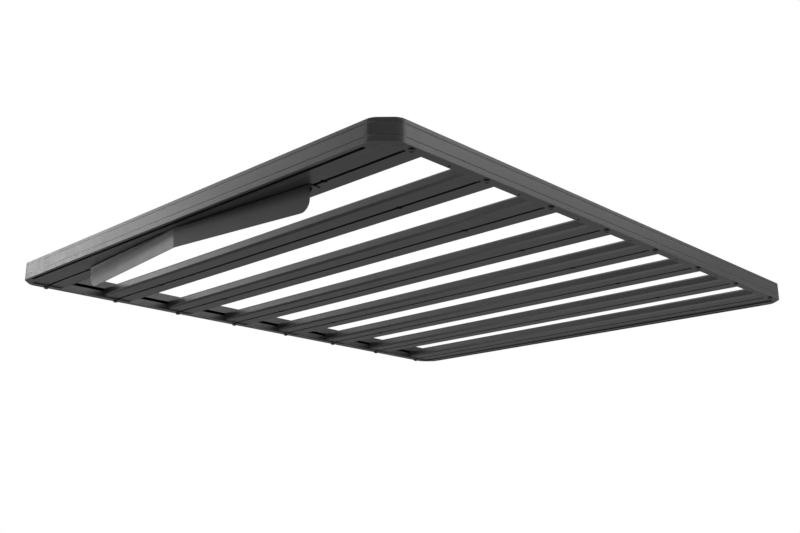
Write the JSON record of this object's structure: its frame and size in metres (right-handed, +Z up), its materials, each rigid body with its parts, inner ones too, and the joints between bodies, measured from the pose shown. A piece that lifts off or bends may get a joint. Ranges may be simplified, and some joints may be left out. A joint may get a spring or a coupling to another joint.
{
  "type": "roof cargo tray",
  "caption": "Flat slatted roof cargo tray: low grooved perimeter rails with cut-off corners round T-slot cross slats, and a swept wind deflector under the front slat.",
  "frame": {"origin": "middle of the tray, in the plane of the rails' undersides; roof feet meet the slats 2.8 mm above it", "axes": "+Y to the rear along the tray's length, +Z up, +X to the vehicle's right; the wind deflector is at the -Y end"},
  "size_m": [1.345, 1.56, 0.0952],
  "materials": {
    "rail_coat": "satin black powder coat on aluminium extrusion",
    "corner_coat": "satin black powder coat on cast aluminium",
    "slat_coat": "satin black powder coat on aluminium extrusion",
    "deflector_coat": "satin black powder coat on aluminium sheet",
    "bolt_steel": "black-coated steel",
    "block_steel": "black zinc-plated steel"
  },
  "bodies": {
    "root": {"front_rail": "rail_coat", "rear_rail": "rail_coat", "side_rail_left": "rail_coat", "side_rail_right": "rail_coat", "corner_front_left": "corner_coat", "corner_front_right": "corner_coat", "corner_rear_left": "corner_coat", "corner_rear_right": "corner_coat", "slat_1": "slat_coat", "slat_2": "slat_coat", "slat_3": "slat_coat", "slat_4": "slat_coat", "slat_5": "slat_coat", "slat_6": "slat_coat", "slat_7": "slat_coat", "slat_8": "slat_coat", "slat_bolt_left_1": "bolt_steel", "slat_bolt_left_2": "bolt_steel", "slat_bolt_left_3": "bolt_steel", "slat_bolt_left_4": "bolt_steel", "slat_bolt_left_5": "bolt_steel", "slat_bolt_left_6": "bolt_steel", "slat_bolt_left_7": "bolt_steel", "slat_bolt_left_8": "bolt_steel", "slat_bolt_right_1": "bolt_steel", "slat_bolt_right_2": "bolt_steel", "slat_bolt_right_3": "bolt_steel", "slat_bolt_right_4": "bolt_steel", "slat_bolt_right_5": "bolt_steel", "slat_bolt_right_6": "bolt_steel", "slat_bolt_right_7": "bolt_steel", "slat_bolt_right_8": "bolt_steel", "slat_end_block_left_1": "block_steel", "slat_end_block_left_2": "block_steel", "slat_end_block_left_3": "block_steel", "slat_end_block_left_4": "block_steel", "slat_end_block_left_5": "block_steel", "slat_end_block_left_6": "block_steel", "slat_end_block_left_7": "block_steel", "slat_end_block_left_8": "block_steel", "slat_end_block_right_1": "block_steel", "slat_end_block_right_2": "block_steel", "slat_end_block_right_3": "block_steel", "slat_end_block_right_4": "block_steel", "slat_end_block_right_5": "block_steel", "slat_end_block_right_6": "block_steel", "slat_end_block_right_7": "block_steel", "slat_end_block_right_8": "block_steel", "wind_deflector": "deflector_coat", "deflector_bolt_left": "bolt_steel", "deflector_nut_left": "bolt_steel", "deflector_bolt_right": "bolt_steel", "deflector_nut_right": "bolt_steel"}
  },
  "joints": []
}
